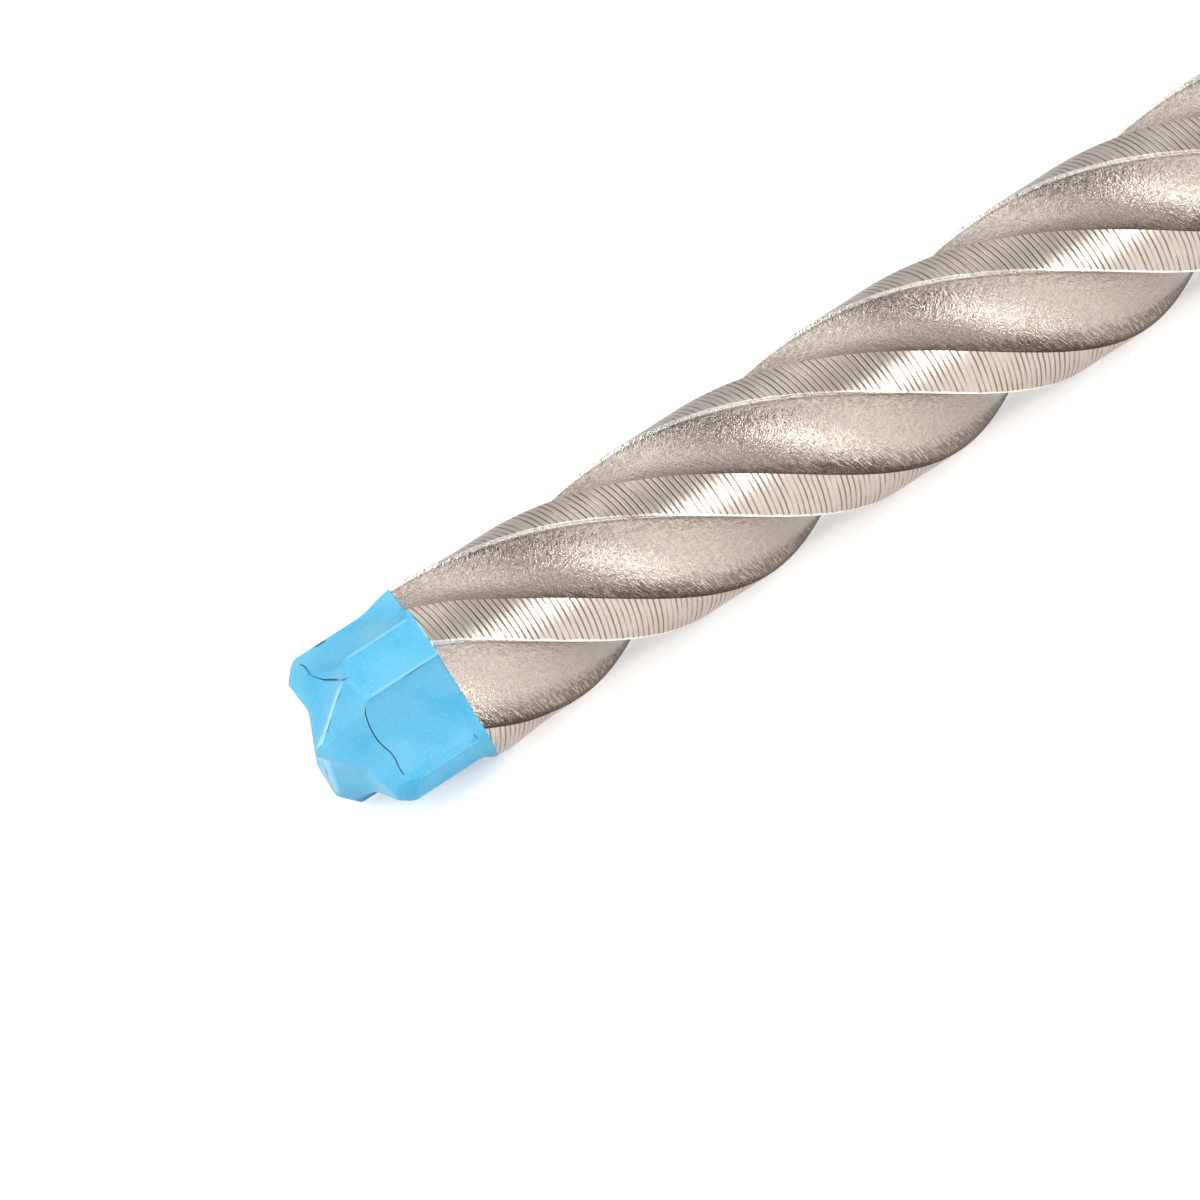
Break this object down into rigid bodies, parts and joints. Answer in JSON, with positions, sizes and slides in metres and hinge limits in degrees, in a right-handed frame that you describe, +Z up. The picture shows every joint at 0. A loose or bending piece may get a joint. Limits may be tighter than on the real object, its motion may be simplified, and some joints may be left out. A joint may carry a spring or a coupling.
{
  "type": "masonry hammer drill bit",
  "caption": "Rotary hammer drill bit: slotted shank, right-hand fluted steel body and a solid carbide head with straight grooves between its cutting lobes.",
  "frame": {"origin": "on the surface the bit lies on, under the middle of its length and of its width", "axes": "the bit's axis runs along X, the rear face of the shank points to +X and the tip to -X, +Z is up"},
  "size_m": [0.16, 0.01, 0.01],
  "materials": {
    "steel": "satin, blasted flutes and ground lands",
    "painted_carbide": "smooth light blue lacquer"
  },
  "bodies": {
    "root": {"drill_body": "steel", "carbide_head": "painted_carbide"}
  },
  "joints": []
}
